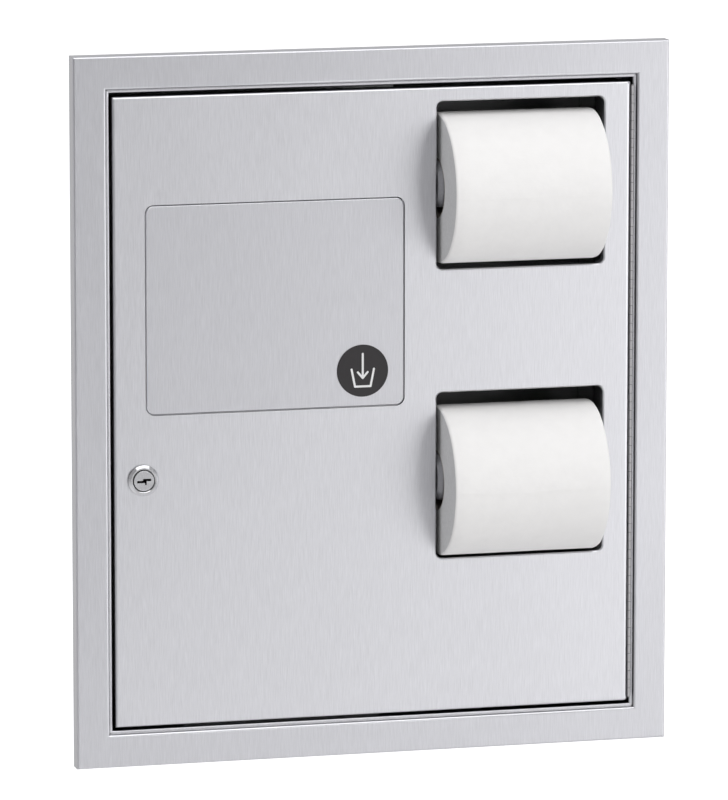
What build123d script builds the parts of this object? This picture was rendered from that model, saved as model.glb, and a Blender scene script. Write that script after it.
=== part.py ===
from build123d import *
import math
import os

# Recessed toilet roll dispenser with a push flap for waste, in millimetres.
# The frame stands out of the wall and the cabinet goes into it. X runs to the right as
# seen from the front, Y runs into the wall and Z runs up. The origin is the centre of
# the wall opening, in the plane of the wall, which the back edge of the frame meets.

# Frame around the wall opening
frame_width = 434.5
frame_height = 508.0
frame_depth = 12.7
frame_sheet = 1.2
frame_face = 23.8
frame_inner_bend = 0.2
step_crease_bend = 0.6
step_fold = 0.4
step_wall = 0.2
step_tread = 0.8
inner_return_depth = 30.0

# Cabinet behind the frame
cabinet_depth = 88.0
cabinet_sheet = 0.8
cabinet_bend = 1.6
cabinet_front_depth = 6.0
side_flange = 12.0
side_flange_gap = 0.5
wall_screw_radius = 2.75
wall_screw_pitch_y = 50.8
wall_screw_back_margin = 12.6
wall_screw_end_margin = 51.0

# Door pan
door_sheet = 1.2
door_depth = 12.0
door_inner_bend = 0.4
door_hinge_bend = 1.8
door_gap_side = 1.7
door_gap_end = 2.5

# Tissue rolls on cardboard cores, which set the size of the windows
roll_radius = 54.0
roll_length = 114.3
roll_sheet_step = 0.35
roll_end_angle = 182.0
core_play = 3.5
core_wall = 0.9
core_fit = 0.05
core_rest_gap = 0.3

# Roll windows in the door, with turned-in edges
window_left_gap = 3.35
window_right_gap = 5.95
window_roll_gap = 6.15
window_spacing = 88.5
window_right_margin = 19.75
window_top_margin = 10.05
window_corner = 4.4
window_lip_depth = 8.0
window_edge_bevel = 0.9

# Door hinge, a full-length hinge with short knuckles
hinge_leaf_sheet = 0.6
hinge_pin_radius = 0.8
hinge_pin_clearance = 0.05
hinge_axis_depth = 0.5
knuckle_pitch = 6.35
knuckle_gap = 0.3
hinge_notch_depth = 2.4
hinge_pin_overhang = 0.6

# Door stop, bumpers and the front retainer of the receptacle
stop_sheet = 1.2
stop_end_margin = 27.6
stop_lip_width = 8.85
stop_leg_length = 13.5
bumper_radius = 4.0
bumper_height = 2.2
bumper_inset = 4.85
bumper_end_margin = 30.0
bumper_gap = 0.3
retainer_sheet = 1.0
retainer_gap = 1.0
retainer_height = 12.0
retainer_foot = 12.0
retainer_end_margin = 5.0

# Disposal flap in the door
flap_height = 148.6
flap_left_margin = 23.4
flap_window_gap = 24.15
flap_top_margin = 77.7
flap_corner = 5.7
flap_sheet = 0.9
flap_gap = 0.7
flap_edge_bevel = 0.6
flap_lip = 2.0
flap_lip_depth = 1.6
flap_hem_depth = 5.0

# Flap hinge along the top edge, behind the door
flap_leaf_sheet = 0.8
flap_pin_radius = 1.2
flap_pin_clearance = 0.05
flap_barrel_radius = 2.0
flap_axis_depth = 3.5
flap_axis_rise = 5.0
flap_hinge_inset = 4.8
flap_knuckle_gap = 0.4
flap_door_slots = [0, 2, 4, 6]
flap_own_slots = [1, 5]
flap_spring_slots = [3]
flap_leaf_height = 14.0
flap_leaf_gap = 0.4
flap_leaf_joggle = 1.5
flap_notch = 0.5
flap_pin_overhang = 0.8

# Torsion spring round the flap's pin
spring_wire = 0.7
spring_coil_radius = 1.7
spring_turns = 5
spring_pitch = 1.8
spring_leg = 9.0
spring_seat_gap = 0.3

# Round symbol plate on the flap
symbol_radius = 18.7
symbol_thickness = 0.7
symbol_edge = 0.25
symbol_inset_x = 30.3
symbol_inset_z = 25.6

# Cam lock
lock_margin = 20.75
lock_drop = 46.4
lock_head_radius = 11.05
lock_head_height = 3.0
lock_head_edge = 1.6
lock_bore_edge = 1.0
lock_barrel_radius = 9.4
lock_barrel_flats = 16.0
lock_hole_clearance = 0.15
lock_plug_radius = 7.4
lock_plug_clearance = 0.06
lock_plug_recess = 0.2
lock_plug_edge = 0.3
lock_key_length = 8.4
lock_key_width = 1.7
lock_key_depth = 9.0
lock_key_jog = 1.3
lock_key_notch = 1.2
lock_nut_flats = 24.0
lock_nut_height = 4.0
lock_nut_clearance = 0.05
lock_square = 7.0
lock_square_clearance = 0.05
lock_cam_gap = 0.6
lock_cam_lip_gap = 0.5
lock_cam_sheet = 2.0
lock_cam_length = 19.0
lock_cam_half_width = 7.5
lock_cam_nose = 5.0
lock_screw_head_radius = 5.0
lock_screw_head_height = 2.2
lock_screw_head_edge = 0.7
lock_screw_radius = 2.0
lock_screw_length = 7.0
lock_screw_slot = 1.0

# Housing for the two rolls, on the back of the door
housing_sheet = 0.9
housing_bend = 1.6
housing_left_margin = 21.0
housing_right_gap = 1.45
housing_top_gap = 0.3
housing_bottom_margin = 10.95
housing_back_depth = 42.0
housing_flange = 5.0

# Spindle brackets beside each window
bracket_sheet = 1.5
bracket_gap = 0.2
bracket_height = 44.0
bracket_depth = 27.0
bracket_foot = 9.0
bracket_corner = 8.0
bracket_hole_clearance = 0.3

# Spring-loaded spindles
spindle_lower_drop = 2.2
spindle_axis_depth = 12.0
spindle_body_radius = 17.0
spindle_wall = 1.6
spindle_slide_clearance = 0.2
spindle_end_bevel = 3.0
spindle_end_gap = 2.2
spindle_body_length = 84.0
spindle_overlap = 24.0
spindle_tip_radius = 3.0
spindle_tip_reach = 5.0
spindle_tip_edge = 0.8
spindle_spring_radius = 10.0
spindle_spring_wire = 1.4
spindle_spring_gap = 0.3

# Removable waste receptacle
bin_side_gap = 8.85
bin_housing_gap = 12.8
bin_door_gap = 5.0
bin_back_gap = 5.7
bin_flap_gap = 20.8
bin_seat_gap = 0.3
bin_wall = 2.0
bin_rim_width = 2.5
bin_rim_height = 6.0
bin_taper = 4.0
bin_corner_cut = 40.0
bin_corner = 8.0

# Flats on hinge knuckles and on spring wire, which are drawn as prisms
knuckle_sides = 6
wire_sides = 6

# One overrun serves every cut
overrun = 2.0

# Places that follow from the sizes above
step_crease = frame_sheet + step_crease_bend
outer_bend = frame_sheet + frame_inner_bend
step_depth = step_crease + step_wall + step_fold
step_width = step_fold + step_tread + outer_bend
throat_half_x = frame_width / 2 - frame_face - step_width
throat_half_z = frame_height / 2 - frame_face - step_width
door_half_x = throat_half_x - door_gap_side
door_half_z = throat_half_z - door_gap_end
cabinet_half_x = throat_half_x + frame_sheet
cabinet_half_z = throat_half_z + frame_sheet
stop_lip_depth = door_depth + bumper_gap + bumper_height
stop_length = 2 * (throat_half_z - stop_end_margin)
leaf_gap = door_gap_side - 2 * hinge_leaf_sheet
hinge_x = door_half_x + hinge_leaf_sheet + leaf_gap / 2
hinge_barrel_radius = hinge_pin_radius + hinge_leaf_sheet
knuckle_count = 2 * int(door_half_z / knuckle_pitch)
window_width = roll_length + window_left_gap + window_right_gap
window_height = 2 * (roll_radius + window_roll_gap)
window_right_x = door_half_x - window_right_margin
window_left_x = window_right_x - window_width
window_center_x = (window_left_x + window_right_x) / 2
window_upper_z = door_half_z - window_top_margin - window_height / 2
window_lower_z = window_upper_z - window_height - window_spacing
window_centers = [window_upper_z, window_lower_z]
spindle_heights = [window_upper_z, window_lower_z - spindle_lower_drop]
core_bore = spindle_body_radius + core_play
roll_start_x = window_left_x + window_left_gap
roll_drop = core_play - core_rest_gap
flap_left_x = -door_half_x + flap_left_margin
flap_right_x = window_left_x - flap_window_gap
flap_width = flap_right_x - flap_left_x
flap_center_x = (flap_left_x + flap_right_x) / 2
flap_top_z = door_half_z - flap_top_margin
flap_center_z = flap_top_z - flap_height / 2
flap_bottom_z = flap_top_z - flap_height
flap_axis_z = flap_top_z + flap_axis_rise
flap_slots = sorted(flap_door_slots + flap_own_slots + flap_spring_slots)
lock_x = -door_half_x + lock_margin
lock_z = flap_bottom_z - lock_drop
cam_depth = stop_lip_depth + stop_sheet + lock_cam_lip_gap
lock_barrel_depth = cam_depth - lock_cam_gap
left_plate_x = window_left_x - door_sheet - bracket_gap
right_plate_x = window_right_x + door_sheet + bracket_gap
housing_left_x = window_left_x - housing_left_margin
housing_right_x = door_half_x - door_sheet - housing_right_gap
bin_left_x = -throat_half_x + bin_side_gap
bin_right_x = housing_left_x - bin_housing_gap
bin_top_z = flap_bottom_z - bin_flap_gap
levels = ["upper", "lower"]


def face_y(depth):
    """Y of a point that lies a given depth behind the front face."""
    return depth - frame_depth


def at_depth(depth):
    """Plane parallel to the front face, with its normal out of the wall."""
    return Plane.XZ.offset(-face_y(depth))


def biarc(start, start_way, end, end_way):
    """Middle point of the two equal arcs that join two points with given directions."""
    span = end - start
    ways = start_way + end_way
    bend = 2 * (1 - start_way.dot(end_way))
    across = span.dot(ways)
    reach = (math.sqrt(across * across + bend * span.dot(span)) - across) / bend
    return (start + start_way * reach + end - end_way * reach) / 2


def coil_stations(start, radius, pitch, first_angle, last_angle, steps):
    """Points and directions along a coil that runs along X, at equal steps of its angle."""
    turn_way = math.copysign(1, last_angle - first_angle)
    rise = pitch / (2 * math.pi)
    stations = []
    for step in range(steps + 1):
        turned = (last_angle - first_angle) * step / steps
        angle = first_angle + turned
        across = Vector(0, math.cos(angle), math.sin(angle))
        along = Vector(0, -math.sin(angle), math.cos(angle))
        spot = start + Vector(rise * abs(turned), 0, 0) + across * radius
        way = Vector(rise, 0, 0) + along * (turn_way * radius)
        stations.append((spot, way.normalized()))
    return stations


def add_coil(stations):
    """Draw a coil's turns as tangent arcs in the open BuildLine."""
    for (start, start_way), (end, end_way) in zip(stations, stations[1:]):
        middle = biarc(start, start_way, end, end_way)
        first = TangentArc(start, middle, tangent=start_way)
        TangentArc(middle, end, tangent=first % 1)


def least_gap(stations, wire, steps_per_turn):
    """Smallest clear distance between neighbouring turns of a coil."""
    spots = [spot for spot, way in stations]
    pairs = zip(spots, spots[steps_per_turn:])
    return min((far - near).length for near, far in pairs) - wire


os.makedirs("parts", exist_ok=True)


def finish(part, name):
    """Label a finished piece and write it under its own name."""
    part.label = name
    export_step(part, "parts/" + name + ".step")


# Frame: one folded profile with a step inside its face, mitred round the opening
profile_plane = Plane(origin=(0, face_y(0), -throat_half_z), x_dir=(0, 0, -1), z_dir=(1, 0, 0))
with BuildPart() as frame:
    with BuildLine(at_depth(0)) as frame_path:
        Polyline(
            (0, -throat_half_z),
            (throat_half_x, -throat_half_z),
            (throat_half_x, throat_half_z),
            (-throat_half_x, throat_half_z),
            (-throat_half_x, -throat_half_z),
            close=True,
        )
    with BuildSketch(profile_plane) as frame_profile:
        with BuildLine():
            front_line = FilletPolyline(
                (frame_face + step_width, frame_depth),
                (frame_face + step_width, 0),
                (step_width, 0),
                (step_width, step_depth),
                (0, step_depth),
                (0, inner_return_depth),
                radius=[outer_bend, step_crease, step_fold, outer_bend],
            )
            rear_line = FilletPolyline(
                (frame_sheet, inner_return_depth),
                (frame_sheet, step_depth + frame_sheet),
                (step_width + frame_sheet, step_depth + frame_sheet),
                (step_width + frame_sheet, frame_sheet),
                (frame_face + step_width - frame_sheet, frame_sheet),
                (frame_face + step_width - frame_sheet, frame_depth),
                radius=[
                    frame_inner_bend,
                    step_fold + frame_sheet,
                    step_crease_bend,
                    frame_inner_bend,
                ],
            )
            Line(front_line @ 1, rear_line @ 0)
            Line(rear_line @ 1, front_line @ 0)
        make_face()
    sweep(path=frame_path.wires()[0], transition=Transition.RIGHT)
finish(frame.part, "frame")

# Cabinet wrapper: top, back and bottom from one folded sheet
shell_plane = Plane.YZ.offset(-cabinet_half_x - cabinet_sheet)
with BuildPart() as cabinet_shell:
    with BuildSketch(shell_plane):
        with BuildLine():
            FilletPolyline(
                (face_y(cabinet_front_depth), cabinet_half_z),
                (cabinet_depth, cabinet_half_z),
                (cabinet_depth, -cabinet_half_z),
                (face_y(cabinet_front_depth), -cabinet_half_z),
                radius=cabinet_bend,
            )
            offset(amount=cabinet_sheet, side=Side.LEFT)
        make_face()
    extrude(amount=2 * (cabinet_half_x + cabinet_sheet))
finish(cabinet_shell.part, "cabinet_shell")

# Cabinet sides: a plate with flanges against the wrapper, and four wall screw holes
flange_start_depth = inner_return_depth + side_flange_gap
wall_screw_row_y = cabinet_depth - wall_screw_back_margin - wall_screw_pitch_y / 2
wall_screw_pitch_z = 2 * (cabinet_half_z - wall_screw_end_margin)
for side, name in ((-1, "cabinet_side_left"), (1, "cabinet_side_right")):
    inner_x = side * cabinet_half_x
    with BuildPart() as cabinet_side:
        with BuildSketch(Plane.YZ.offset(inner_x)):
            with Locations(((face_y(cabinet_front_depth) + cabinet_depth) / 2, 0)):
                Rectangle(cabinet_depth - face_y(cabinet_front_depth), 2 * cabinet_half_z)
        extrude(amount=side * cabinet_sheet)
        fillet(cabinet_side.edges().filter_by(Axis.X).group_by(Axis.Y)[-1], radius=cabinet_bend)
        with BuildSketch(Plane.YZ.offset(inner_x)):
            with BuildLine():
                FilletPolyline(
                    (face_y(flange_start_depth), cabinet_half_z),
                    (cabinet_depth, cabinet_half_z),
                    (cabinet_depth, -cabinet_half_z),
                    (face_y(flange_start_depth), -cabinet_half_z),
                    radius=cabinet_bend,
                )
                offset(amount=cabinet_sheet, side=Side.RIGHT)
            make_face()
        extrude(amount=-side * side_flange)
        with BuildSketch(Plane.YZ.offset(inner_x)):
            with Locations((wall_screw_row_y, 0)):
                with GridLocations(wall_screw_pitch_y, wall_screw_pitch_z, 2, 2):
                    Circle(wall_screw_radius)
        extrude(amount=cabinet_sheet + overrun, both=True, mode=Mode.SUBTRACT)
    finish(cabinet_side.part, name)

# Door stop: an angle on the lock side, whose lip also catches the cam
with BuildPart() as door_stop_angle:
    with BuildSketch(Plane.XY.offset(-stop_length / 2)):
        with BuildLine():
            Polyline(
                (-throat_half_x + stop_lip_width, face_y(stop_lip_depth)),
                (-throat_half_x, face_y(stop_lip_depth)),
                (-throat_half_x, face_y(stop_lip_depth + stop_leg_length)),
            )
            offset(amount=stop_sheet, side=Side.RIGHT)
        make_face()
    extrude(amount=stop_length)
finish(door_stop_angle.part, "door_stop_angle")

# Rubber bumpers on the stop, where the edge of the door lands
with BuildPart() as door_bumpers:
    with BuildSketch(at_depth(door_depth + bumper_gap)):
        with Locations((-throat_half_x + bumper_inset, 0)):
            with GridLocations(0, stop_length - 2 * bumper_end_margin, 1, 2):
                Circle(bumper_radius)
    extrude(amount=-bumper_height)
finish(door_bumpers.part, "door_bumpers")

# Retainer: a low angle across the cabinet's mouth that keeps the receptacle in
retainer_start_x = bin_left_x + bin_corner_cut + retainer_end_margin
retainer_depth = door_depth + retainer_gap
with BuildPart() as receptacle_retainer:
    with BuildSketch(Plane.YZ.offset(retainer_start_x)):
        with BuildLine():
            Polyline(
                (face_y(retainer_depth), -throat_half_z + retainer_height),
                (face_y(retainer_depth), -throat_half_z),
                (face_y(retainer_depth) + retainer_foot, -throat_half_z),
            )
            offset(amount=retainer_sheet, side=Side.LEFT)
        make_face()
    extrude(amount=bin_right_x - retainer_end_margin - retainer_start_x)
finish(receptacle_retainer.part, "receptacle_retainer")

# Door hinge: two leaves with short knuckles that take turns along one pin
hinge_length = knuckle_count * knuckle_pitch
knuckle_length = knuckle_pitch - knuckle_gap
hinge_axis_y = face_y(hinge_axis_depth)
for first, side, name in ((0, -1, "hinge_leaf_door"), (1, 1, "hinge_leaf_frame")):
    starts = [
        -hinge_length / 2 + index * knuckle_pitch + knuckle_gap / 2
        for index in range(first, knuckle_count, 2)
    ]
    leaf_x = hinge_x + side * (leaf_gap + hinge_leaf_sheet) / 2
    leaf_front_y = hinge_axis_y + hinge_notch_depth
    leaf_back_y = face_y(door_depth)
    with BuildPart() as hinge_leaf:
        with BuildSketch(*[Plane.XY.offset(start) for start in starts]):
            with Locations((hinge_x, hinge_axis_y)):
                RegularPolygon(hinge_barrel_radius, knuckle_sides)
            with Locations((leaf_x, (hinge_axis_y + leaf_back_y) / 2)):
                Rectangle(hinge_leaf_sheet, leaf_back_y - hinge_axis_y)
            with Locations((hinge_x, hinge_axis_y)):
                RegularPolygon(
                    hinge_pin_radius + hinge_pin_clearance,
                    knuckle_sides,
                    major_radius=False,
                    mode=Mode.SUBTRACT,
                )
        extrude(amount=knuckle_length)
        with BuildSketch(Plane.XY.offset(-hinge_length / 2)):
            with Locations((leaf_x, (leaf_front_y + leaf_back_y) / 2)):
                Rectangle(hinge_leaf_sheet, leaf_back_y - leaf_front_y)
        extrude(amount=hinge_length)
    finish(hinge_leaf.part, name)

with BuildPart() as hinge_pin:
    with BuildSketch(Plane.XY.offset(-hinge_length / 2 - hinge_pin_overhang)):
        with Locations((hinge_x, hinge_axis_y)):
            Circle(hinge_pin_radius)
    extrude(amount=hinge_length + 2 * hinge_pin_overhang)
finish(hinge_pin.part, "hinge_pin")

# Door: a folded pan with two lipped roll windows, the flap's opening and the lock's hole
with BuildPart() as door_panel:
    with BuildSketch(at_depth(0)):
        Rectangle(2 * door_half_x, 2 * door_half_z)
    extrude(amount=-door_depth)
    hinge_edge = door_panel.faces().sort_by(Axis.Y)[0].edges().sort_by(Axis.X)[-1]
    fillet(hinge_edge, radius=door_sheet + door_hinge_bend)
    other_edges = door_panel.faces().sort_by(Axis.Y)[0].edges().sort_by(Axis.X)[:-1]
    fillet(other_edges, radius=door_sheet + door_inner_bend)
    offset(amount=-door_sheet, openings=door_panel.faces().sort_by(Axis.Y)[-1])
    with BuildSketch(at_depth(0)):
        for center_z in window_centers:
            with Locations((window_center_x, center_z)):
                RectangleRounded(
                    window_width + 2 * door_sheet,
                    window_height + 2 * door_sheet,
                    window_corner + door_sheet,
                )
    extrude(amount=-window_lip_depth)
    with BuildSketch(at_depth(-overrun)):
        for center_z in window_centers:
            with Locations((window_center_x, center_z)):
                RectangleRounded(window_width, window_height, window_corner)
    extrude(amount=-window_lip_depth - 2 * overrun, mode=Mode.SUBTRACT)
    front_face = door_panel.faces().sort_by(Axis.Y)[0]
    rim_edges = [edge for wire in front_face.inner_wires() for edge in wire.edges()]
    chamfer(rim_edges, length=window_edge_bevel)
    with BuildSketch(at_depth(-overrun)):
        with Locations((flap_center_x, flap_center_z)):
            RectangleRounded(
                flap_width + 2 * flap_gap,
                flap_height + 2 * flap_gap,
                flap_corner + flap_gap,
            )
    extrude(amount=-door_sheet - 2 * overrun, mode=Mode.SUBTRACT)
    with BuildSketch(at_depth(-overrun)):
        with Locations((lock_x, lock_z)):
            Circle(lock_barrel_radius + lock_hole_clearance)
            Rectangle(
                lock_barrel_flats + 2 * lock_hole_clearance,
                2 * (lock_barrel_radius + lock_hole_clearance),
                mode=Mode.INTERSECT,
            )
    extrude(amount=-door_sheet - 2 * overrun, mode=Mode.SUBTRACT)
finish(door_panel.part, "door_panel")

# Housing: a tray open to the back, welded by its front flange behind the windows
housing_top_z = door_half_z - door_sheet - housing_top_gap
housing_bottom_z = window_lower_z - window_height / 2 - housing_bottom_margin
housing_width = housing_right_x - housing_left_x
housing_height = housing_top_z - housing_bottom_z
housing_center = ((housing_left_x + housing_right_x) / 2, (housing_top_z + housing_bottom_z) / 2)
with BuildPart() as tissue_housing:
    with BuildSketch(at_depth(door_sheet)):
        with Locations(housing_center):
            Rectangle(housing_width, housing_height)
    extrude(amount=-(housing_back_depth - door_sheet))
    fillet(tissue_housing.faces().sort_by(Axis.Y)[0].edges(), radius=housing_bend)
    offset(amount=-housing_sheet, openings=tissue_housing.faces().sort_by(Axis.Y)[-1])
    with BuildSketch(at_depth(door_sheet)):
        with Locations(housing_center):
            Rectangle(housing_width - 2 * housing_flange, housing_height - 2 * housing_flange)
    extrude(amount=overrun, both=True, mode=Mode.SUBTRACT)
finish(tissue_housing.part, "tissue_housing")

# Spindle brackets: an angle on each side of each window, with a hole for a spindle's tip
for level, height in zip(levels, spindle_heights):
    for side, plate_x, hand in ((-1, left_plate_x, "left"), (1, right_plate_x, "right")):
        with BuildPart() as spindle_bracket:
            with BuildSketch(Plane.YZ.offset(plate_x)):
                with Locations((face_y((door_sheet + bracket_depth) / 2), height)):
                    Rectangle(bracket_depth - door_sheet, bracket_height)
            extrude(amount=side * bracket_sheet)
            back_edges = spindle_bracket.edges().filter_by(Axis.X).group_by(Axis.Y)[-1]
            fillet(back_edges, radius=bracket_corner)
            with BuildSketch(at_depth(door_sheet)):
                with Locations((plate_x + side * (bracket_sheet + bracket_foot) / 2, height)):
                    Rectangle(bracket_sheet + bracket_foot, bracket_height)
            extrude(amount=-bracket_sheet)
            with BuildSketch(Plane.YZ.offset(plate_x)):
                with Locations((face_y(spindle_axis_depth), height)):
                    Circle(spindle_tip_radius + bracket_hole_clearance)
            extrude(amount=bracket_sheet + overrun, both=True, mode=Mode.SUBTRACT)
        finish(spindle_bracket.part, "spindle_bracket_" + level + "_" + hand)

# Spindles: a domed body, a plunger that slides inside it and the spring between them
body_start = left_plate_x + spindle_end_gap
body_end = body_start + spindle_body_length
plunger_start = body_end - spindle_overlap
plunger_end = right_plate_x - spindle_end_gap
plunger_radius = spindle_body_radius - spindle_wall - spindle_slide_clearance
tip_length = spindle_end_gap + bracket_sheet + spindle_tip_reach
for level, height in zip(levels, spindle_heights):
    axis_y = face_y(spindle_axis_depth)
    for mouth, closed, way, radius, name in (
        (body_end, body_start, -1, spindle_body_radius, "body"),
        (plunger_start, plunger_end, 1, plunger_radius, "plunger"),
    ):
        half_plane = Plane(origin=(0, axis_y, height), x_dir=(1, 0, 0), z_dir=(0, -1, 0))
        with BuildPart() as spindle_half:
            with BuildSketch(half_plane):
                with BuildLine():
                    Polyline(
                        (mouth, radius - spindle_wall),
                        (mouth, radius),
                        (closed - way * spindle_end_bevel, radius),
                        (closed, radius - spindle_end_bevel),
                        (closed, spindle_tip_radius),
                        (closed + way * (tip_length - spindle_tip_edge), spindle_tip_radius),
                        (closed + way * tip_length, spindle_tip_radius - spindle_tip_edge),
                        (closed + way * tip_length, 0),
                        (closed - way * spindle_end_bevel, 0),
                        (closed - way * spindle_end_bevel, radius - spindle_wall),
                        close=True,
                    )
                make_face()
            revolve(axis=Axis((0, axis_y, height), (1, 0, 0)))
        finish(spindle_half.part, "spindle_" + level + "_" + name)

# Springs inside the spindles, closed in on all sides and drawn as plain sleeves
spring_start = body_start + spindle_end_bevel + spindle_spring_gap
spring_finish = plunger_end - spindle_end_bevel - spindle_spring_gap
for level, height in zip(levels, spindle_heights):
    with BuildPart() as spindle_spring:
        with BuildSketch(Plane.YZ.offset(spring_start)):
            with Locations((face_y(spindle_axis_depth), height)):
                Circle(spindle_spring_radius)
                Circle(spindle_spring_radius - spindle_spring_wire, mode=Mode.SUBTRACT)
        extrude(amount=spring_finish - spring_start)
    finish(spindle_spring.part, "spindle_" + level + "_spring")

# Rolls: a cardboard core that hangs on each spindle, wound with tissue to a loose end
core_radius = core_bore + core_wall
for level, height in zip(levels, spindle_heights):
    center = (face_y(spindle_axis_depth), height - roll_drop)
    with BuildPart() as roll_core:
        with BuildSketch(Plane.YZ.offset(roll_start_x)):
            with Locations(center):
                Circle(core_radius)
                Circle(core_bore, mode=Mode.SUBTRACT)
        extrude(amount=roll_length)
    finish(roll_core.part, "roll_core_" + level)

    end_way = Vector(1, 0).rotate(Axis.Z, roll_end_angle)
    inner_center = Vector(*center) - end_way * (roll_sheet_step / 2)
    with BuildPart() as tissue_roll:
        with BuildSketch(Plane.YZ.offset(roll_start_x)):
            with BuildLine():
                outer = CenterArc(center, roll_radius, roll_end_angle - 180, 180)
                inner = CenterArc(
                    (inner_center.X, inner_center.Y),
                    roll_radius - roll_sheet_step / 2,
                    roll_end_angle,
                    180,
                )
                Line(outer @ 1, inner @ 0)
            make_face()
            with Locations(center):
                Circle(core_radius + core_fit, mode=Mode.SUBTRACT)
        extrude(amount=roll_length)
    finish(tissue_roll.part, "tissue_roll_" + level)

# Disposal flap: a pan pushed forward to stand flush in its opening, with a lip behind the door
flap_center = (flap_center_x, flap_center_z)
lip_width = flap_width + 2 * flap_lip
lip_height = flap_height + 2 * flap_lip
lip_corner = flap_corner + flap_lip
with BuildPart() as disposal_flap:
    with BuildSketch(at_depth(flap_lip_depth)):
        with Locations(flap_center):
            RectangleRounded(lip_width, lip_height, lip_corner)
    extrude(amount=flap_lip_depth - flap_hem_depth)
    with BuildSketch(at_depth(flap_lip_depth + flap_sheet)):
        with Locations(flap_center):
            RectangleRounded(
                lip_width - 2 * flap_sheet,
                lip_height - 2 * flap_sheet,
                lip_corner - flap_sheet,
            )
    extrude(amount=-flap_hem_depth, mode=Mode.SUBTRACT)
    with BuildSketch(at_depth(0)):
        with Locations((flap_center_x, flap_top_z + flap_lip)):
            Rectangle(lip_width, 2 * flap_lip)
    extrude(amount=-flap_hem_depth - overrun, mode=Mode.SUBTRACT)
    with BuildSketch(at_depth(0)):
        with Locations(flap_center):
            RectangleRounded(flap_width, flap_height, flap_corner)
    extrude(amount=-flap_lip_depth - flap_sheet)
    chamfer(disposal_flap.faces().sort_by(Axis.Y)[0].edges(), length=flap_edge_bevel)
    with BuildSketch(at_depth(flap_sheet)):
        with Locations(flap_center):
            RectangleRounded(
                flap_width - 2 * flap_sheet,
                flap_height - 2 * flap_sheet,
                flap_corner - flap_sheet,
            )
        with Locations((flap_center_x, flap_top_z)):
            Rectangle(flap_width - 2 * flap_sheet, 2 * flap_corner)
    extrude(amount=-flap_lip_depth, mode=Mode.SUBTRACT)
finish(disposal_flap.part, "disposal_flap")

# Symbol plate near the flap's lower right corner
symbol_x = flap_right_x - symbol_inset_x
symbol_z = flap_bottom_z + symbol_inset_z
with BuildPart() as flap_symbol:
    with BuildSketch(at_depth(0)):
        with Locations((symbol_x, symbol_z)):
            Circle(symbol_radius)
    extrude(amount=symbol_thickness)
    chamfer(flap_symbol.edges().sort_by(Axis.Y)[0], length=symbol_edge)
finish(flap_symbol.part, "flap_symbol")

# Flap hinge: the door's leaf goes up from the pin and the flap's leaf comes down
flap_hinge_length = flap_width - 2 * flap_hinge_inset
flap_hinge_start = flap_left_x + flap_hinge_inset
flap_knuckle_pitch = flap_hinge_length / len(flap_slots)
flap_axis_y = face_y(flap_axis_depth)
flap_leaf_depth = door_sheet + flap_leaf_gap
notch_reach = flap_barrel_radius + flap_notch
for slots, way, near_depth, name in (
    (flap_door_slots, 1, door_sheet, "flap_hinge_leaf_door"),
    (flap_own_slots, -1, flap_leaf_depth, "flap_hinge_leaf_flap"),
):
    slot_starts = [
        flap_hinge_start + slot * flap_knuckle_pitch + flap_knuckle_gap / 2 for slot in slots
    ]
    with BuildPart() as flap_leaf:
        with BuildSketch(*[Plane.YZ.offset(start) for start in slot_starts]):
            with Locations((flap_axis_y, flap_axis_z)):
                RegularPolygon(flap_barrel_radius, knuckle_sides)
            with Locations(
                (face_y(near_depth) + flap_leaf_sheet / 2, flap_axis_z + way * notch_reach / 2)
            ):
                Rectangle(flap_leaf_sheet, notch_reach)
            with Locations((flap_axis_y, flap_axis_z)):
                RegularPolygon(
                    flap_pin_radius + flap_pin_clearance,
                    knuckle_sides,
                    major_radius=False,
                    mode=Mode.SUBTRACT,
                )
        extrude(amount=flap_knuckle_pitch - flap_knuckle_gap)
        with BuildSketch(Plane.YZ.offset(flap_hinge_start)):
            with BuildLine():
                if way > 0:
                    Polyline(
                        (face_y(near_depth), flap_axis_z + flap_leaf_height),
                        (face_y(near_depth), flap_axis_z + notch_reach),
                    )
                else:
                    Polyline(
                        (face_y(near_depth), flap_axis_z - notch_reach),
                        (face_y(near_depth), flap_top_z),
                        (face_y(flap_sheet), flap_top_z - flap_leaf_joggle),
                        (face_y(flap_sheet), flap_axis_z - flap_leaf_height - notch_reach),
                    )
                offset(amount=flap_leaf_sheet, side=Side.LEFT)
            make_face()
        extrude(amount=flap_hinge_length)
    finish(flap_leaf.part, name)

with BuildPart() as flap_hinge_pin:
    with BuildSketch(Plane.YZ.offset(flap_hinge_start - flap_pin_overhang)):
        with Locations((flap_axis_y, flap_axis_z)):
            Circle(flap_pin_radius)
    extrude(amount=flap_hinge_length + 2 * flap_pin_overhang)
finish(flap_hinge_pin.part, "flap_hinge_pin")

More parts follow.
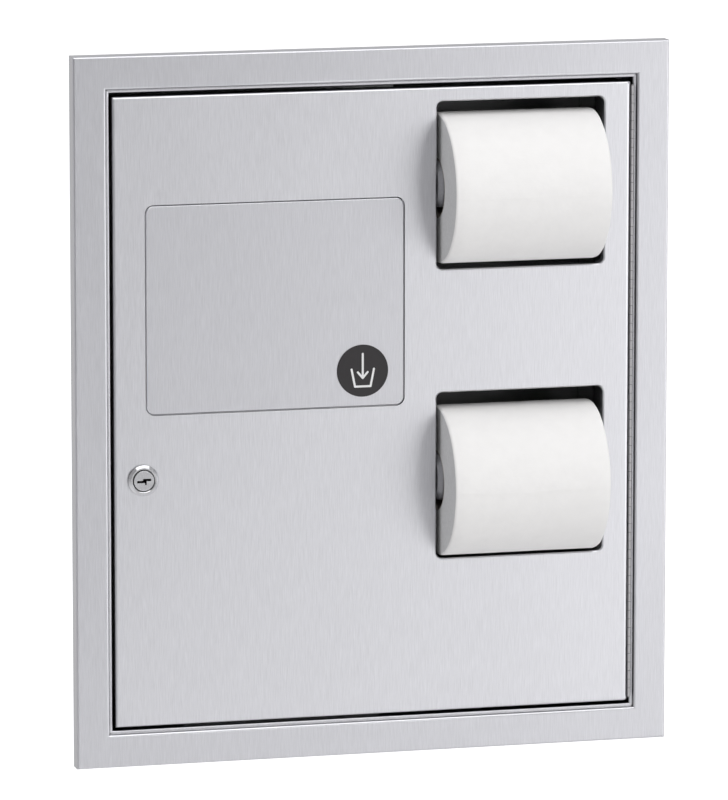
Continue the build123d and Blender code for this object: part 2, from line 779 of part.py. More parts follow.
# Torsion spring on the pin: one leg bears on each leaf, from the coil's back
leg_rest = spring_seat_gap + spring_wire / 2 + flap_leaf_sheet - flap_axis_depth
upper_leg = Vector(door_sheet + leg_rest, spring_leg)
lower_leg = Vector(flap_sheet + leg_rest, -spring_leg)
upper_lean = math.acos(spring_coil_radius / upper_leg.length)
lower_lean = math.acos(spring_coil_radius / lower_leg.length)
upper_angle = math.atan2(upper_leg.Y, upper_leg.X) - upper_lean
lower_angle = math.atan2(lower_leg.Y, lower_leg.X) + lower_lean
coil_start = Vector(
    flap_center_x - spring_turns * spring_pitch / 2,
    flap_axis_y,
    flap_axis_z,
)
stations = coil_stations(
    coil_start,
    spring_coil_radius,
    spring_pitch,
    upper_angle,
    lower_angle - 2 * math.pi * spring_turns,
    2 * spring_turns,
)
with BuildPart() as flap_spring:
    with BuildLine() as spring_path:
        Line(stations[0][0] - stations[0][1] * spring_leg, stations[0][0])
        add_coil(stations)
        Line(stations[-1][0], stations[-1][0] + stations[-1][1] * spring_leg)
    with BuildSketch(Plane(origin=spring_path.wires()[0] @ 0, z_dir=stations[0][1])):
        RegularPolygon(spring_wire / 2, wire_sides)
    sweep(path=spring_path.wires()[0])
finish(flap_spring.part, "flap_spring")
print("flap spring least gap", round(least_gap(stations, spring_wire, 2), 2))

# Cam lock: a headed barrel with two flats, a keyed plug, a nut behind the door and a cam
lock_center = (lock_x, lock_z)
with BuildPart() as lock_body:
    with BuildSketch(at_depth(0)):
        with Locations(lock_center):
            Circle(lock_head_radius)
    extrude(amount=lock_head_height)
    chamfer(lock_body.edges().sort_by(Axis.Y)[0], length=lock_head_edge)
    with BuildSketch(at_depth(0)):
        with Locations(lock_center):
            Circle(lock_barrel_radius)
            Rectangle(lock_barrel_flats, 2 * lock_barrel_radius, mode=Mode.INTERSECT)
    extrude(amount=-lock_barrel_depth)
    with BuildSketch(at_depth(0)):
        with Locations(lock_center):
            Circle(lock_plug_radius + lock_plug_clearance)
    extrude(amount=lock_barrel_depth + overrun, both=True, mode=Mode.SUBTRACT)
    head_face = lock_body.faces().sort_by(Axis.Y)[0]
    chamfer(head_face.inner_wires()[0].edges(), length=lock_bore_edge)
finish(lock_body.part, "lock_body")

plug_depth = lock_plug_recess - lock_head_height
with BuildPart() as lock_plug:
    with BuildSketch(at_depth(plug_depth)):
        with Locations(lock_center):
            Circle(lock_plug_radius)
    extrude(amount=plug_depth - cam_depth)
    chamfer(lock_plug.edges().sort_by(Axis.Y)[0], length=lock_plug_edge)
    with BuildSketch(at_depth(cam_depth)):
        with Locations(lock_center):
            Rectangle(lock_square, lock_square)
    extrude(amount=-lock_cam_sheet)
    with BuildSketch(at_depth(plug_depth)):
        with Locations(
            (lock_x - lock_key_length / 4, lock_z - lock_key_jog / 2),
            (lock_x + lock_key_length / 4, lock_z + lock_key_jog / 2),
        ):
            Rectangle(lock_key_length / 2 + lock_key_width, lock_key_width)
        with Locations((lock_x + lock_key_notch, lock_z - lock_key_jog)):
            Rectangle(lock_key_notch, 2 * lock_key_width)
    extrude(amount=-lock_key_depth, mode=Mode.SUBTRACT)
    with BuildSketch(at_depth(cam_depth + lock_cam_sheet)):
        with Locations(lock_center):
            Circle(lock_screw_radius + lock_square_clearance)
    extrude(amount=lock_screw_length, mode=Mode.SUBTRACT)
finish(lock_plug.part, "lock_plug")

with BuildPart() as lock_nut:
    with BuildSketch(at_depth(door_sheet)):
        with Locations(lock_center):
            RegularPolygon(lock_nut_flats / 2, 6, major_radius=False)
            Circle(lock_barrel_radius + lock_nut_clearance, mode=Mode.SUBTRACT)
    extrude(amount=-lock_nut_height)
finish(lock_nut.part, "lock_nut")

cam_square = lock_square + 2 * lock_square_clearance
with BuildPart() as lock_cam:
    with BuildSketch(at_depth(cam_depth)):
        with Locations(lock_center):
            Circle(lock_cam_half_width)
        with Locations((lock_x, lock_z - lock_cam_length / 2)):
            Rectangle(2 * lock_cam_half_width, lock_cam_length)
    extrude(amount=-lock_cam_sheet)
    nose = lock_cam.edges().filter_by(Axis.Y).sort_by(Axis.Z)[0:2]
    fillet(nose, radius=lock_cam_nose)
    with BuildSketch(at_depth(cam_depth)):
        with Locations(lock_center):
            Rectangle(cam_square, cam_square)
    extrude(amount=lock_cam_sheet + overrun, both=True, mode=Mode.SUBTRACT)
finish(lock_cam.part, "lock_cam")

with BuildPart() as lock_cam_screw:
    with BuildSketch(at_depth(cam_depth + lock_cam_sheet)):
        with Locations(lock_center):
            Circle(lock_screw_head_radius)
    extrude(amount=-lock_screw_head_height)
    head_rim = lock_cam_screw.edges().sort_by(Axis.Y)[-1]
    chamfer(head_rim, length=lock_screw_head_edge)
    with BuildSketch(at_depth(cam_depth + lock_cam_sheet + lock_screw_head_height)):
        with Locations(lock_center):
            Rectangle(2 * lock_screw_head_radius, lock_screw_slot)
    extrude(amount=lock_screw_slot, mode=Mode.SUBTRACT)
    with BuildSketch(at_depth(cam_depth + lock_cam_sheet)):
        with Locations(lock_center):
            Circle(lock_screw_radius)
    extrude(amount=lock_screw_length)
finish(lock_cam_screw.part, "lock_cam_screw")

# Waste receptacle: a tapered bin with a rim, and one corner cut back behind the lock
bin_floor_z = -throat_half_z + retainer_sheet + bin_seat_gap
bin_front_y = face_y(door_depth + bin_door_gap)
bin_back_y = cabinet_depth - bin_back_gap
diagonal_share = 2 - math.sqrt(2)


def bin_corners(shrink):
    """Corners of the bin's outline when it is made smaller by a given distance all round."""
    left = bin_left_x + shrink
    right = bin_right_x - shrink
    front = bin_front_y + shrink
    back = bin_back_y - shrink
    cut = bin_corner_cut - shrink * diagonal_share
    return [(left + cut, front), (right, front), (right, back), (left, back), (left, front + cut)]


with BuildPart() as waste_receptacle:
    for inset, wall_mode in ((0, Mode.ADD), (bin_wall, Mode.SUBTRACT)):
        for height, shrink in ((bin_floor_z + inset, inset + bin_taper), (bin_top_z, inset)):
            with BuildSketch(Plane.XY.offset(height)):
                with BuildLine():
                    FilletPolyline(*bin_corners(shrink), radius=bin_corner, close=True)
                make_face()
        loft(ruled=True, mode=wall_mode)
    with BuildSketch(Plane.XY.offset(bin_top_z)):
        for shrink, cut_mode in ((-bin_rim_width, Mode.ADD), (bin_wall, Mode.SUBTRACT)):
            with BuildLine():
                FilletPolyline(*bin_corners(shrink), radius=bin_corner, close=True)
            make_face(mode=cut_mode)
    extrude(amount=-bin_rim_height)
finish(waste_receptacle.part, "waste_receptacle")
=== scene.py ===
import math
import random
from collections import namedtuple

import bmesh
import bpy
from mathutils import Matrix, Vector


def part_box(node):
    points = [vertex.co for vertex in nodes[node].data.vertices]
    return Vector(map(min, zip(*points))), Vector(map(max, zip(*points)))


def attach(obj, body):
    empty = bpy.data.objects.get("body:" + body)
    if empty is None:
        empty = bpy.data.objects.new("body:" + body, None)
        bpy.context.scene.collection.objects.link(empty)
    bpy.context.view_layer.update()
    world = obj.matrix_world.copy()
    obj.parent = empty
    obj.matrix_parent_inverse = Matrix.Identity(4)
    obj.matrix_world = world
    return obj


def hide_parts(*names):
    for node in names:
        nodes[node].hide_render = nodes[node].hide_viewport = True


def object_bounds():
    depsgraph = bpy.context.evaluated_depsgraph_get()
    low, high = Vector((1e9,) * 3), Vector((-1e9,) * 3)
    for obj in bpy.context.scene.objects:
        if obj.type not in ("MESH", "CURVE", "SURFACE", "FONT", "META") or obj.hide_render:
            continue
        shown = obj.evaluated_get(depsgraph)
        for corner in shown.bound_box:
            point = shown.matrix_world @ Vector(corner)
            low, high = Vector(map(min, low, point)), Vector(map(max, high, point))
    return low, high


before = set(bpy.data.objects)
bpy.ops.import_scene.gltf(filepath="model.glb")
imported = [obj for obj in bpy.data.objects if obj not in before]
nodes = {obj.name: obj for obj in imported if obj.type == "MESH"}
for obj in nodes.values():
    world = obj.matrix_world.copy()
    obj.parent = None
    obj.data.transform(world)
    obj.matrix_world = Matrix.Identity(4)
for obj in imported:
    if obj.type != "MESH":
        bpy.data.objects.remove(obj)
cad_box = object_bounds()

# Lengths and places are in metres, angles in radians, noise in cells per metre.

# Camera, with the lens and sensor in millimetres
camera_spot = (-1.1976, -4.6386, 0.8073)
camera_pan = math.radians(14.427)
camera_tilt = math.radians(9.5557)
camera_lens = 306.84
camera_sensor = 36
camera_far = 200

# Floor, which glows a little behind the part, from the first to the second place in Y
floor_drop = 0.65
floor_reach = 40.0
floor_tone = 0.8
floor_roughness = 0.9
floor_glow = 0.8
glow_reach = (-0.5, 2.5)

# Studio around it, dimmer in front, by the direction's share along Y
studio_color = (0.98, 0.98, 1)
studio_front = 0.12
studio_back = 1.0
studio_reach = (-0.7, 1.0)

# Lamps: place, the point that it faces, width and height, and power in watts
softboxes = {
    "panel_front": ((2.4, -2.6, -1), (0.3, 0, 0), (3.0, 3.8), 61),
    "panel_floor": ((0.2, -2.4, 1.4), (0.2, -2.39, -1), (2.4, 1.6), 32),
    "panel_above": ((0.2, -1.1, 2.2), (0, 0, 0), (3.2, 2.4), 35),
    "panel_left": ((-2.6, -1.2, 0.2), (0, 0, 0), (2.0, 2.4), 0.3),
}

# Tissue rolls: columns are shares of the half length, from the middle to one end
roll_radius = 0.054
core_radius = 0.0215
roll_sheet_step = 0.00025
roll_end_angle = math.radians(182)
roll_steps = 160
roll_flat_share = 0.97
roll_columns = (0, 0.3, 0.55, 0.8, roll_flat_share, 0.994, 1)
roll_edge_round = 0.0012
roll_seeds = {"upper": 3, "lower": 8}
ripple_height = 0.00004
ripple_count = 6
ripple_first = 2
ripple_folds = 3
ripple_weights = (0.4, 1)
seam_wander = 0.018
seam_fine_wave = 7
seam_broad_wave = 3
seam_broad_phase = 1

# Mark on the flap's plate, around the plate's centre
mark_height = 0.00012
mark_stagger = 0.1
stroke_half_width = 0.00075
stroke_end_steps = 8
bin_rim_half = 0.0082
bin_rim_z = 0.0012
bin_base_half = 0.0057
bin_base_z = -0.0112
arrow_top_z = 0.0122
arrow_tip_z = -0.0052
arrow_wing_half = 0.0036
arrow_wing_z = -0.001

# Weld marks on the door's front, as X and Z places
weld_marks = ((-0.1585, 0.1572), (-0.0664, 0.1578))
weld_radius = 0.0042
weld_flat_share = 0.3
weld_bump = 0.5

# Steel
vertical_grain = (1900, 1900, 70)
level_grain = (60, 900, 900)
hinge_grain = (500, 500, 2500)
smear_grain = (9, 9, 5)
grain_dark = 0.9
grain_light = 1.07
grain_rough = (-0.04, 0.05)
smear_rough = (-0.02, 0.02)
grain_bump = 0.12
fine_bump_depth = 0.0001
brush_axis = (0.02, 0.03, 1)
bevel_samples = 4

# Shade in gaps and corners: how far it looks for other faces, how much darker it gets,
# and the open shares from which it lightens and at which it ends
Crease = namedtuple("Crease", "reach depth start end")
crease_samples = 8
plain_crease = Crease(0.003, 0.75, 0.15, 0.85)
frame_fold_crease = Crease(0.0018, 0.97, 0.45, 0.85)
frame_gap_crease = Crease(0.006, 0.97, 0.25, 0.55)
door_fold_crease = Crease(0.0015, 0.15, 0.15, 0.85)
door_gap_crease = Crease(0.006, 0.97, 0.15, 0.45)
pocket_crease = Crease(0.02, 0.8, 0.15, 0.85)
hinge_crease = Crease(0.003, 0.97, 0.35, 0.9)
plate_crease = Crease(0.004, 0.95, 0.3, 0.9)

# Plated metal and plastic
plate_marks = (400, 400, 400)
plate_dark = 0.94
plate_rough = (-0.03, 0.06)
plate_bump = 0.05
plastic_grain = 1800
plastic_patch = 25
plastic_dark = 0.9
plastic_rough = (-0.05, 0.05)

# Paper and board
crepe_grain = (120, 900, 900)
quilt_grain = (110, 110, 110)
roll_end_rings = 2200
roll_end_fibres = (500, 500, 500)
board_fibres = (300, 1200, 1200)


def new_material(name):
    """A material with its node tree and its Principled shader."""
    material = bpy.data.materials.new(name)
    material.use_nodes = True
    tree = material.node_tree
    return material, tree, tree.nodes["Principled BSDF"]


def add_node(tree, kind, **settings):
    """A new node with its named settings filled in."""
    node = tree.nodes.new(kind)
    for key, value in settings.items():
        setattr(node, key, value)
    return node


def scalar_math(tree, operation, *values):
    """The result of one operation on linked values."""
    node = add_node(tree, "ShaderNodeMath", operation=operation)
    for value, socket in zip(values, node.inputs):
        tree.links.new(value, socket)
    return node.outputs[0]


def vector_math(tree, operation, vector, constant):
    """The node of one operation on a linked vector and a constant one."""
    node = add_node(tree, "ShaderNodeVectorMath", operation=operation)
    node.inputs[1].default_value = constant
    tree.links.new(vector, node.inputs[0])
    return node


def part_of(tree, vector, axis):
    """One axis of a linked vector."""
    parts = add_node(tree, "ShaderNodeSeparateXYZ")
    tree.links.new(vector, parts.inputs[0])
    return parts.outputs[axis]


def noise(tree, stretch, detail=3.0, roughness=0.6):
    """Noise in the object's own coordinates, with cells per metre along each axis."""
    place = add_node(tree, "ShaderNodeTexCoord")
    stretched = vector_math(tree, "MULTIPLY", place.outputs["Object"], stretch)
    texture = add_node(tree, "ShaderNodeTexNoise")
    texture.inputs["Scale"].default_value = 1.0
    texture.inputs["Detail"].default_value = detail
    texture.inputs["Roughness"].default_value = roughness
    tree.links.new(stretched.outputs[0], texture.inputs["Vector"])
    return texture.outputs["Fac"]


def spread(tree, value, low, high, start=0.3, end=0.7):
    """A value stretched from one range to another, and held at its ends."""
    node = add_node(tree, "ShaderNodeMapRange")
    node.inputs["From Min"].default_value = start
    node.inputs["From Max"].default_value = end
    node.inputs["To Min"].default_value = low
    node.inputs["To Max"].default_value = high
    tree.links.new(value, node.inputs["Value"])
    return node.outputs["Result"]


def blend_colors(tree, value, first, second):
    """A colour between two, by a value from 0 to 1."""
    node = add_node(tree, "ShaderNodeMix", data_type="RGBA")
    node.inputs["A"].default_value = (*first, 1)
    node.inputs["B"].default_value = (*second, 1)
    tree.links.new(value, node.inputs["Factor"])
    return node.outputs["Result"]


def scale_color(tree, color, amount):
    """A colour times an amount, darker below 1 and lighter above it."""
    scaled = add_node(tree, "ShaderNodeVectorMath", operation="SCALE")
    tree.links.new(color, scaled.inputs[0])
    tree.links.new(amount, scaled.inputs["Scale"])
    return scaled.outputs[0]


def bump(tree, shader, height, strength, distance, under=None):
    """Bump from a height, laid over another bump where one is given."""
    node = add_node(tree, "ShaderNodeBump")
    node.inputs["Strength"].default_value = strength
    node.inputs["Distance"].default_value = distance
    tree.links.new(height, node.inputs["Height"])
    if under is not None:
        tree.links.new(under, node.inputs["Normal"])
    tree.links.new(node.outputs["Normal"], shader.inputs["Normal"])
    return node.outputs["Normal"]


def soft_edges(tree, radius):
    """Normals that round off sharp edges."""
    rounded = add_node(tree, "ShaderNodeBevel", samples=bevel_samples)
    rounded.inputs["Radius"].default_value = radius
    return rounded.outputs[0]


def dimples(tree, spots, radius):
    """Height of shallow round marks at given places on a front face, from 0 to 1."""
    place = add_node(tree, "ShaderNodeTexCoord")
    flat = vector_math(tree, "MULTIPLY", place.outputs["Object"], (1, 0, 1))
    heights = []
    for x, z in spots:
        away = vector_math(tree, "DISTANCE", flat.outputs[0], (x, 0, z))
        hollow = add_node(tree, "ShaderNodeMapRange", interpolation_type="SMOOTHSTEP")
        hollow.inputs["From Min"].default_value = weld_flat_share * radius
        hollow.inputs["From Max"].default_value = radius
        tree.links.new(away.outputs["Value"], hollow.inputs["Value"])
        heights.append(hollow.outputs["Result"])
    lowest = heights[0]
    for height in heights[1:]:
        lowest = scalar_math(tree, "MINIMUM", lowest, height)
    return lowest


def shade_crease(tree, base, crease):
    """The base colour, darker in narrow gaps and corners: painted shade, found by ambient
    occlusion.
    """
    shade = add_node(tree, "ShaderNodeAmbientOcclusion", samples=crease_samples)
    shade.inputs["Distance"].default_value = crease.reach
    darkest = 1 - crease.depth
    open_share = spread(tree, shade.outputs["AO"], darkest, 1, crease.start, crease.end)
    return scale_color(tree, base, open_share)


def paint_light_on_returns(tree, base, tone, facing):
    """The base colour, times painted light on the edges that are bent away from the front: painted
    shade below 1, a painted highlight above 1.
    """
    place = add_node(tree, "ShaderNodeTexCoord")
    front = scalar_math(tree, "ABSOLUTE", part_of(tree, place.outputs["Normal"], "Y"))
    return scale_color(tree, base, spread(tree, front, tone, 1, *facing))


def brushed_steel(
    name,
    color,
    grain,
    roughness,
    anisotropy=0.5,
    rounding=0.00015,
    marks=(),
    creases=(plain_crease,),
    return_painted_light=1,
    painted_light_facing=(0.2, 0.7),
):
    """Satin steel with fine grain along one axis, faint smears and softened edges."""
    material, tree, shader = new_material(name)
    lines = noise(tree, grain, detail=4.0, roughness=0.7)
    smears = noise(tree, smear_grain, detail=2.0)
    dark = tuple(channel * grain_dark for channel in color)
    light = tuple(min(1, channel * grain_light) for channel in color)
    base = blend_colors(tree, spread(tree, lines, 0, 1), dark, light)
    # Painted light by facing: faces bent away from the front get painted shade, or a painted
    # highlight where the factor is above 1
    base = paint_light_on_returns(tree, base, return_painted_light, painted_light_facing)
    # Painted shade in narrow gaps and corners
    for crease in creases:
        base = shade_crease(tree, base, crease)
    tree.links.new(base, shader.inputs["Base Color"])
    line_rough = spread(tree, lines, *(roughness + change for change in grain_rough))
    rough = scalar_math(tree, "ADD", line_rough, spread(tree, smears, *smear_rough))
    tree.links.new(rough, shader.inputs["Roughness"])
    shader.inputs["Metallic"].default_value = 1.0
    shader.inputs["Anisotropic"].default_value = anisotropy
    if anisotropy:
        facing = add_node(tree, "ShaderNodeNewGeometry")
        across = vector_math(tree, "CROSS_PRODUCT", facing.outputs["Normal"], brush_axis)
        tree.links.new(across.outputs[0], shader.inputs["Tangent"])
    under = soft_edges(tree, rounding)
    if marks:
        hollows = dimples(tree, marks, weld_radius)
        under = bump(tree, shader, hollows, weld_bump, fine_bump_depth, under)
    bump(tree, shader, lines, grain_bump, fine_bump_depth, under)
    return material


def polished_metal(name, color, roughness, rounding=0.0003):
    """Bright plated metal with faint handling marks."""
    material, tree, shader = new_material(name)
    marks = noise(tree, plate_marks, detail=3.0)
    base = blend_colors(tree, marks, tuple(c * plate_dark for c in color), color)
    # Painted shade in the creases, such as the lock's keyway and rings
    tree.links.new(shade_crease(tree, base, plate_crease), shader.inputs["Base Color"])
    rough = spread(tree, marks, *(roughness + change for change in plate_rough))
    tree.links.new(rough, shader.inputs["Roughness"])
    shader.inputs["Metallic"].default_value = 1.0
    bump(tree, shader, marks, plate_bump, fine_bump_depth, soft_edges(tree, rounding))
    return material


def moulded(name, color, roughness, bump_strength=0.1):
    """Plastic or rubber with a fine moulded grain and slight changes of tone."""
    material, tree, shader = new_material(name)
    pores = noise(tree, (plastic_grain,) * 3, detail=2.0)
    patches = noise(tree, (plastic_patch,) * 3, detail=2.0)
    dark = tuple(channel * plastic_dark for channel in color)
    base = blend_colors(tree, spread(tree, patches, 0, 1), dark, color)
    tree.links.new(base, shader.inputs["Base Color"])
    rough = spread(tree, pores, *(roughness + change for change in plastic_rough))
    tree.links.new(rough, shader.inputs["Roughness"])
    bump(tree, shader, pores, bump_strength, fine_bump_depth)
    return material


def paper_material():
    """Soft tissue: fine crepe across the sheet and a faint pressed pattern."""
    material, tree, shader = new_material("tissue_paper")
    crepe = noise(tree, crepe_grain, detail=4.0, roughness=0.7)
    quilt = noise(tree, quilt_grain, detail=2.0)
    tone = spread(tree, quilt, 0, 1)
    base = blend_colors(tree, tone, (0.88, 0.87, 0.86), (0.9, 0.89, 0.88))
    tree.links.new(base, shader.inputs["Base Color"])
    shader.inputs["Roughness"].default_value = 0.9
    shader.inputs["Specular IOR Level"].default_value = 0.2
    shader.inputs["Sheen Weight"].default_value = 0.15
    under = bump(tree, shader, quilt, strength=0.2, distance=0.0006)
    bump(tree, shader, crepe, strength=0.25, distance=0.0002, under=under)
    return material


def roll_end_material():
    """The cut ends of a roll: fine rings of wound sheets, in a grey darker than the sheet that is
    painted shade.
    """
    material, tree, shader = new_material("roll_end")
    place = add_node(tree, "ShaderNodeTexCoord")
    flat = vector_math(tree, "MULTIPLY", place.outputs["Object"], (0, 1, 1))
    reach = add_node(tree, "ShaderNodeVectorMath", operation="LENGTH")
    tree.links.new(flat.outputs[0], reach.inputs[0])
    ring_place = add_node(tree, "ShaderNodeCombineXYZ")
    tree.links.new(reach.outputs["Value"], ring_place.inputs["X"])
    rings = add_node(tree, "ShaderNodeTexNoise")
    rings.inputs["Scale"].default_value = roll_end_rings
    rings.inputs["Detail"].default_value = 3
    tree.links.new(ring_place.outputs[0], rings.inputs["Vector"])
    fibres = noise(tree, roll_end_fibres, detail=4.0)
    both = scalar_math(tree, "ADD", rings.outputs["Fac"], fibres)
    tone = spread(tree, both, 0, 1, start=0.7, end=1.3)
    # Grey darker than the sheet's white: painted shade on the roll's ends, with the rings' own
    # texture
    base = blend_colors(tree, tone, (0.66, 0.66, 0.66), (0.78, 0.78, 0.78))
    tree.links.new(base, shader.inputs["Base Color"])
    shader.inputs["Roughness"].default_value = 0.95
    shader.inputs["Specular IOR Level"].default_value = 0.1
    bump(tree, shader, both, strength=0.3, distance=0.0003)
    return material


def cardboard_material():
    """Grey-brown board with short fibres."""
    material, tree, shader = new_material("cardboard")
    fibres = noise(tree, board_fibres, detail=4.0)
    tone = spread(tree, fibres, 0, 1)
    base = blend_colors(tree, tone, (0.33, 0.3, 0.27), (0.5, 0.46, 0.42))
    tree.links.new(base, shader.inputs["Base Color"])
    shader.inputs["Roughness"].default_value = 0.9
    bump(tree, shader, fibres, strength=0.25, distance=0.0002)
    return material


# Materials
# Frame: painted shade on its returns and step walls, and in its folds and the gap round the door
satin_frame = brushed_steel(
    "satin_frame",
    (0.67, 0.67, 0.7),
    vertical_grain,
    roughness=0.34,
    creases=(frame_fold_crease, frame_gap_crease),
    return_painted_light=0.45,
)
# Door: painted shade on its returns, and in its folds and the gap round it
satin_door = brushed_steel(
    "satin_door",
    (0.73, 0.73, 0.76),
    vertical_grain,
    roughness=0.34,
    marks=weld_marks,
    creases=(door_fold_crease, door_gap_crease),
    return_painted_light=0.6,
)
# Flap: a painted highlight on its bevels and edges, which face away from the front
satin_flap = brushed_steel(
    "satin_flap",
    (0.67, 0.67, 0.7),
    vertical_grain,
    roughness=0.36,
    creases=(),
    return_painted_light=1.4,
    painted_light_facing=(0.75, 0.95),
)
# Mill steel: painted shade in its creases
mill_steel = brushed_steel(
    "mill_steel", (0.5, 0.5, 0.51), level_grain, roughness=0.42, anisotropy=0.3
)
# Housing: painted shade deep in its pocket
dark_steel = brushed_steel(
    "dark_steel",
    (0.08, 0.08, 0.08),
    vertical_grain,
    roughness=0.42,
    anisotropy=0.3,
    creases=(pocket_crease,),
)
# Hinge: painted shade in its creases
hinge_steel = brushed_steel(
    "hinge_steel",
    (0.45, 0.44, 0.45),
    hinge_grain,
    roughness=0.3,
    anisotropy=0.0,
    rounding=0.0002,
    creases=(hinge_crease,),
)
lock_chrome = polished_metal("lock_chrome", (0.8, 0.8, 0.82), roughness=0.14)
lock_steel = polished_metal("lock_steel", (0.62, 0.62, 0.62), roughness=0.3)
plug_chrome = polished_metal("plug_chrome", (0.74, 0.74, 0.76), roughness=0.2)
wire_steel = polished_metal("wire_steel", (0.6, 0.6, 0.61), roughness=0.22, rounding=0.0)
bumper_rubber = moulded("bumper_rubber", (0.03, 0.03, 0.03), roughness=0.6)
receptacle_plastic = moulded("receptacle_plastic", (0.42, 0.43, 0.45), roughness=0.45)
spindle_plastic = moulded(
    "spindle_plastic", (0.28, 0.28, 0.3), roughness=0.28, bump_strength=0.03
)
symbol_black = moulded(
    "symbol_black", (0.02, 0.017, 0.019), roughness=0.4, bump_strength=0.05
)
symbol_white = moulded(
    "symbol_white", (0.86, 0.86, 0.86), roughness=0.45, bump_strength=0.03
)
tissue_paper = paper_material()
roll_end = roll_end_material()
cardboard = cardboard_material()

# Each CAD piece's finish; those not named here are plain mill steel
finishes = {
    "frame": satin_frame,
    "door_panel": satin_door,
    "disposal_flap": satin_flap,
    "tissue_housing": dark_steel,
    "hinge_leaf_door": hinge_steel,
    "hinge_leaf_frame": hinge_steel,
    "hinge_pin": hinge_steel,
    "lock_body": lock_chrome,
    "lock_plug": plug_chrome,
    "lock_nut": lock_steel,
    "lock_cam": lock_steel,
    "lock_cam_screw": lock_steel,
    "flap_spring": wire_steel,
    "spindle_upper_spring": wire_steel,
    "spindle_lower_spring": wire_steel,
    "door_bumpers": bumper_rubber,
    "waste_receptacle": receptacle_plastic,
    "flap_symbol": symbol_black,
    "roll_core_upper": cardboard,
    "roll_core_lower": cardboard,
    "spindle_upper_body": spindle_plastic,
    "spindle_lower_body": spindle_plastic,
    "spindle_upper_plunger": spindle_plastic,
    "spindle_lower_plunger": spindle_plastic,
}
for name, node in nodes.items():
    node.data.materials.clear()
    node.data.materials.append(finishes.get(name, mill_steel))


def roll_ring(shape, across, half, share, waves, seed):
    """One row of points along the roll's outside, at a share of its last turn."""
    wound = roll_radius - roll_sheet_step * (1 - share)
    row = []
    for place in across:
        wander = seam_wander * math.sin(seam_fine_wave * place + seed)
        wander *= math.sin(seam_broad_wave * place + seam_broad_phase)
        angle = roll_end_angle + wander - 2 * math.pi * (1 - share)
        edge = max(0.0, (abs(place) - roll_flat_share) / (1 - roll_flat_share))
        soft = roll_edge_round * (1 - math.sqrt(max(0.0, 1 - edge * edge)))
        ripple = sum(
            weight * math.sin((index + ripple_first) * angle * ripple_folds + phase + place * index)
            for index, (phase, weight) in enumerate(waves)
        )
        radius = wound - soft + ripple * ripple_height
        row.append(
            shape.verts.new((place * half, radius * math.cos(angle), radius * math.sin(angle)))
        )
    return row


def bore_pair(shape, half, share):
    """The two end points of the roll's bore, at a share of its last turn."""
    angle = roll_end_angle - 2 * math.pi * (1 - share)
    spot = (core_radius * math.cos(angle), core_radius * math.sin(angle))
    return [shape.verts.new((side * half, *spot)) for side in (-1, 1)]


def tissue_roll(level, seed):
    """A wound roll with soft edges, a loose outer sheet and its end at the front."""
    low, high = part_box("tissue_roll_" + level)
    half = (high.x - low.x) / 2
    shaker = random.Random(seed)
    waves = [
        (shaker.uniform(0, 2 * math.pi), shaker.uniform(*ripple_weights))
        for _ in range(ripple_count)
    ]
    across = [-share for share in reversed(roll_columns[1:])] + list(roll_columns)
    mesh = bpy.data.meshes.new("paper_roll_" + level)
    shape = bmesh.new()
    shares = [step / roll_steps for step in range(roll_steps + 1)]
    rings = [roll_ring(shape, across, half, share, waves, seed) for share in shares]
    inner = [bore_pair(shape, half, share) for share in shares]
    columns = range(len(across) - 1)
    for first, second, first_in, second_in in zip(rings, rings[1:], inner, inner[1:]):
        for index in columns:
            face = shape.faces.new(
                (first[index], first[index + 1], second[index + 1], second[index])
            )
            face.smooth = True
        left = shape.faces.new((first_in[0], first[0], second[0], second_in[0]))
        right = shape.faces.new((first[-1], first_in[1], second_in[1], second[-1]))
        left.material_index = 1
        right.material_index = 1
        shape.faces.new((first_in[1], first_in[0], second_in[0], second_in[1]))
    start, end = rings[0], rings[-1]
    for index in columns:
        shape.faces.new((end[index], end[index + 1], start[index + 1], start[index]))
    for ring in (start, end):
        for edge in {edge for vert in ring for edge in vert.link_edges}:
            if all(vert in ring for vert in edge.verts):
                edge.smooth = False
    bmesh.ops.recalc_face_normals(shape, faces=shape.faces)
    shape.to_mesh(mesh)
    shape.free()
    mesh.materials.append(tissue_paper)
    mesh.materials.append(roll_end)
    roll = bpy.data.objects.new("paper_roll_" + level, mesh)
    roll.location = (low + high) / 2
    bpy.context.scene.collection.objects.link(roll)
    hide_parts("tissue_roll_" + level)
    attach(roll, "roll_" + level)


for level, seed in roll_seeds.items():
    tissue_roll(level, seed)


def flat_art(name, outlines, body, material, height):
    """Thin raised artwork from closed outlines in the plane of the symbol plate.

    Each outline is a little lower than the one before, so that no two faces coincide.
    """
    low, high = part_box("flap_symbol")
    center = ((low.x + high.x) / 2, (low.z + high.z) / 2)
    mesh = bpy.data.meshes.new(name)
    shape = bmesh.new()
    for index, outline in enumerate(outlines):
        rise = height * (1 - mark_stagger * index)
        front = [
            shape.verts.new((center[0] + x, low.y - rise, center[1] + z)) for x, z in outline
        ]
        face = shape.faces.new(front)
        side = bmesh.ops.extrude_face_region(shape, geom=[face])
        moved = [item for item in side["geom"] if isinstance(item, bmesh.types.BMVert)]
        bmesh.ops.translate(shape, verts=moved, vec=(0, rise, 0))
    bmesh.ops.recalc_face_normals(shape, faces=shape.faces)
    shape.to_mesh(mesh)
    shape.free()
    mesh.materials.append(material)
    art = bpy.data.objects.new(name, mesh)
    bpy.context.scene.collection.objects.link(art)
    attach(art, body)


def stroke(start, end):
    """Outline of a line with round ends."""
    way = math.atan2(end[1] - start[1], end[0] - start[0])
    outline = []
    for middle, turn in ((start, math.pi / 2), (end, -math.pi / 2)):
        for step in range(stroke_end_steps + 1):
            angle = way + turn + math.pi * step / stroke_end_steps
            x = middle[0] + stroke_half_width * math.cos(angle)
            z = middle[1] + stroke_half_width * math.sin(angle)
            outline.append((x, z))
    return outline


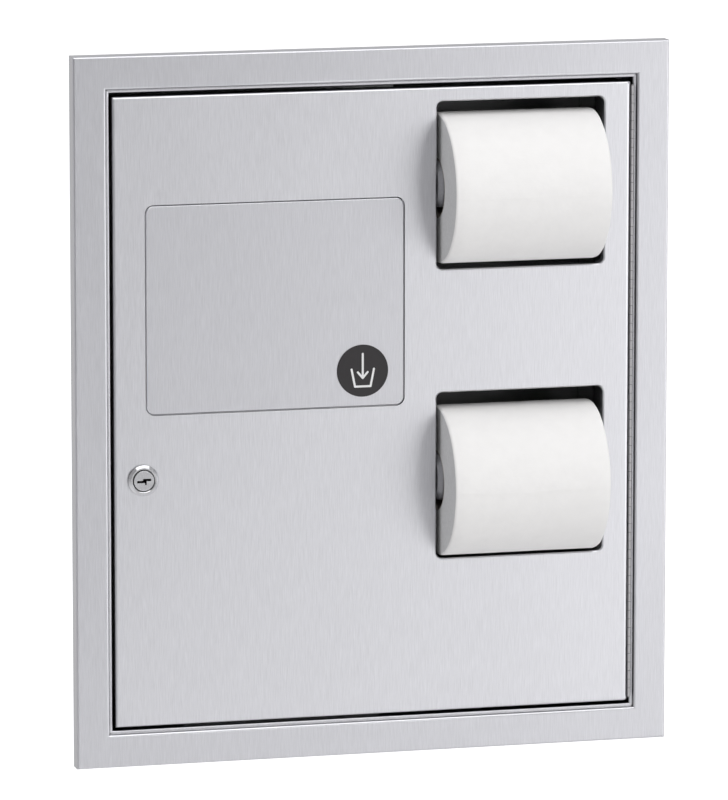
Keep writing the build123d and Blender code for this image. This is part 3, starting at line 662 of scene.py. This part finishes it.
# A bin open at the top, and an arrow that points down into it
mark_strokes = (
    ((-bin_rim_half, bin_rim_z), (-bin_base_half, bin_base_z)),
    ((-bin_base_half, bin_base_z), (bin_base_half, bin_base_z)),
    ((bin_base_half, bin_base_z), (bin_rim_half, bin_rim_z)),
    ((0, arrow_top_z), (0, arrow_tip_z)),
    ((0, arrow_tip_z), (-arrow_wing_half, arrow_wing_z)),
    ((0, arrow_tip_z), (arrow_wing_half, arrow_wing_z)),
)
flat_art(
    "symbol_mark",
    [stroke(start, end) for start, end in mark_strokes],
    "flap",
    symbol_white,
    mark_height,
)


def pale_floor():
    """A floor that the camera, metal and glass see as white behind the part."""
    height = cad_box[0][2] - floor_drop
    bpy.ops.mesh.primitive_plane_add(size=2 * floor_reach, location=(0, 0, height))
    floor = bpy.context.object
    floor.name = "studio_floor"
    material, tree, shader = new_material("studio_floor")
    shader.inputs["Base Color"].default_value = (floor_tone, floor_tone, floor_tone, 1)
    shader.inputs["Roughness"].default_value = floor_roughness
    rays = add_node(tree, "ShaderNodeLightPath").outputs
    seen = scalar_math(tree, "MAXIMUM", rays["Is Camera Ray"], rays["Is Glossy Ray"])
    seen = scalar_math(tree, "MAXIMUM", seen, rays["Is Transmission Ray"])
    spot = add_node(tree, "ShaderNodeNewGeometry")
    back = part_of(tree, spot.outputs["Position"], "Y")
    glow = scalar_math(tree, "MULTIPLY", spread(tree, back, 0, floor_glow, *glow_reach), seen)
    white = add_node(tree, "ShaderNodeEmission")
    tree.links.new(glow, white.inputs["Strength"])
    both = add_node(tree, "ShaderNodeAddShader")
    tree.links.new(shader.outputs[0], both.inputs[0])
    tree.links.new(white.outputs[0], both.inputs[1])
    tree.links.new(both.outputs[0], tree.nodes["Material Output"].inputs["Surface"])
    floor.data.materials.append(material)


def plain_studio():
    """A plain pale world, dimmer in front of the part."""
    world = bpy.data.worlds.new("studio")
    bpy.context.scene.world = world
    world.use_nodes = True
    tree = world.node_tree
    tree.nodes.clear()
    place = add_node(tree, "ShaderNodeTexCoord")
    back = part_of(tree, place.outputs["Generated"], "Y")
    plain = add_node(tree, "ShaderNodeBackground")
    plain.inputs["Color"].default_value = (*studio_color, 1)
    level = spread(tree, back, studio_front, studio_back, *studio_reach)
    tree.links.new(level, plain.inputs["Strength"])
    output = add_node(tree, "ShaderNodeOutputWorld")
    tree.links.new(plain.outputs[0], output.inputs["Surface"])


def softbox(name, spot, aim, size, power):
    """A soft rectangular lamp at one spot that points at another."""
    lamp = bpy.data.lights.new(name, "AREA")
    lamp.shape = "RECTANGLE"
    lamp.size, lamp.size_y = size
    lamp.energy = power
    holder = bpy.data.objects.new(name, lamp)
    holder.location = spot
    holder.rotation_euler = (Vector(aim) - Vector(spot)).to_track_quat("-Z", "Y").to_euler()
    bpy.context.scene.collection.objects.link(holder)


pale_floor()
plain_studio()
for name, (spot, aim, size, power) in softboxes.items():
    softbox(name, spot, aim, size, power)

# Camera at the photograph's angle
lens = bpy.data.cameras.new("camera")
lens.lens = camera_lens
lens.sensor_width = camera_sensor
lens.clip_end = camera_far
camera = bpy.data.objects.new("camera", lens)
camera.location = camera_spot
camera.rotation_euler = (math.pi / 2 - camera_tilt, 0, -camera_pan)
bpy.context.scene.collection.objects.link(camera)
bpy.context.scene.camera = camera
bpy.context.scene.view_settings.view_transform = "Standard"
